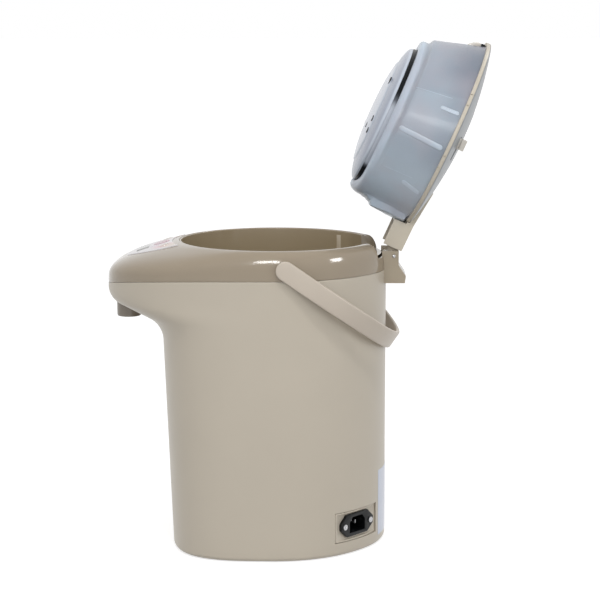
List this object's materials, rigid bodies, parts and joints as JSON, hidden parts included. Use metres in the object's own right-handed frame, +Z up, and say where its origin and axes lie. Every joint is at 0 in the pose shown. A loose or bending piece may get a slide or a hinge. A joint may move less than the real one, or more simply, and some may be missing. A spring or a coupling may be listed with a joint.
{
  "type": "electric thermo pot",
  "caption": "Round-backed hot-water pot with a long spout nose, a bail handle, a power inlet and a hinged lid that holds a press pump, shown open.",
  "frame": {"origin": "on the table, on the axis of the round back and of the filling mouth", "axes": "+Z up, -Y towards the spout, +Y towards the lid hinge, +X towards the side with the power inlet and the lid's lock knob"},
  "size_m": [0.2296, 0.3861, 0.51],
  "materials": {
    "shell_beige": "satin moulded plastic",
    "top_brown": "glossy moulded plastic",
    "mouth_brown": "glossy moulded plastic",
    "stainless": "spun",
    "screw_steel": "zinc plated",
    "dark_rubber": "moulded",
    "foot_rubber": "moulded",
    "heater_metal": "cast",
    "mica_brass": "rolled",
    "black_plastic": "moulded",
    "white_plastic": "moulded",
    "clear_tube": "silicone tube",
    "motor_metal": "drawn can",
    "rotor_blue": "moulded",
    "spout_grey": "moulded",
    "gauge_clear": "clear plastic",
    "panel_film": "film over plastic",
    "display": "tinted window",
    "button_rose": "moulded",
    "button_cream": "moulded",
    "board_green": "laminate",
    "inlet_beige": "moulded",
    "pin_steel": "plated",
    "handle_beige": "satin moulded plastic",
    "pivot_brown": "moulded",
    "lid_grey": "glossy moulded plastic",
    "ring_beige": "moulded",
    "case_smoke": "translucent moulded plastic",
    "disc_white": "moulded",
    "bellows_white": "soft moulding",
    "knob_white": "moulded"
  },
  "bodies": {
    "pot": {"body_shell": "shell_beige", "top_shell": "top_brown", "collar": "mouth_brown", "hinge_seat": "top_brown", "liner": "stainless", "liner_gasket": "dark_rubber", "liner_stand": "screw_steel", "base_cover": "shell_beige", "foot_ring": "foot_rubber", "base_screws": "screw_steel", "base_heater": "heater_metal", "band_heater": "mica_brass", "thermostat": "black_plastic", "thermal_fuse": "white_plastic", "pump_housing": "white_plastic", "pump_motor": "motor_metal", "suction_tube": "clear_tube", "riser_tube": "clear_tube", "tip_valve": "white_plastic", "outlet_tube": "clear_tube", "spout_nozzle": "spout_grey", "gauge_window": "gauge_clear", "control_panel": "panel_film", "indicator_window": "display", "control_board": "board_green", "power_board": "board_green", "inlet_frame": "inlet_beige", "power_inlet": "black_plastic", "inlet_pins": "pin_steel", "inlet_screws": "screw_steel", "hinge_bracket": "top_brown", "bracket_screws": "screw_steel", "hinge_pin": "screw_steel", "hinge_spring": "screw_steel", "handle_pivots": "pivot_brown"},
    "lid": {"lid_arm": "handle_beige", "lid_cover": "lid_grey", "lid_ring": "ring_beige", "pump_case": "case_smoke", "inner_disc": "disc_white", "lid_gasket": "dark_rubber", "disc_screws": "screw_steel", "bellows": "bellows_white", "bellows_spring": "screw_steel", "bellows_seat": "white_plastic"},
    "press_plate": {"press_plate": "lid_grey"},
    "lock_slider": {"lock_slider": "knob_white"},
    "latch": {"lid_latch": "black_plastic"},
    "handle": {"handle_bail": "handle_beige"},
    "impeller": {"pump_impeller": "rotor_blue"},
    "dispense_button": {"dispense_button": "button_rose"},
    "reboil_button": {"reboil_button": "button_cream"},
    "unlock_button": {"unlock_button": "button_cream"}
  },
  "joints": [
    {"name": "lid_hinge", "type": "hinge", "parent": "pot", "child": "lid", "pos_m": [0, 0.1205, 0.3075], "axis": [1, 0, 0], "range_deg": [0, 114.3]},
    {"name": "press_plate_slide", "type": "slide", "parent": "lid", "child": "press_plate", "axis": [0, -0.9114, 0.4115], "range_m": [0, 0.022], "stiffness_N_per_m": 400, "deforming": ["bellows", "bellows_spring"]},
    {"name": "lock_slide", "type": "slide", "parent": "lid", "child": "lock_slider", "axis": [0, -0.4115, -0.9114], "range_m": [0, 0.011]},
    {"name": "latch_lever", "type": "hinge", "parent": "lid", "child": "latch", "pos_m": [0, 0.2125, 0.50372], "axis": [1, 0, 0], "range_deg": [0, 7], "stiffness_Nm_per_rad": 0.05},
    {"name": "handle_hinge", "type": "hinge", "parent": "pot", "child": "handle", "pos_m": [0, 0.0132, 0.2904], "axis": [1, 0, 0], "range_deg": [0, 42]},
    {"name": "impeller_spin", "type": "hinge", "parent": "pot", "child": "impeller", "pos_m": [0, -0.058, 0.0345], "axis": [0, 0, 1], "continuous": true},
    {"name": "dispense_press", "type": "slide", "parent": "pot", "child": "dispense_button", "axis": [0, 0.2844, -0.9587], "range_m": [0, 0.0012], "stiffness_N_per_m": 900},
    {"name": "reboil_press", "type": "slide", "parent": "pot", "child": "reboil_button", "axis": [0, 0.2844, -0.9587], "range_m": [0, 0.0012], "stiffness_N_per_m": 900},
    {"name": "unlock_press", "type": "slide", "parent": "pot", "child": "unlock_button", "axis": [0, 0.2844, -0.9587], "range_m": [0, 0.0012], "stiffness_N_per_m": 900}
  ]
}
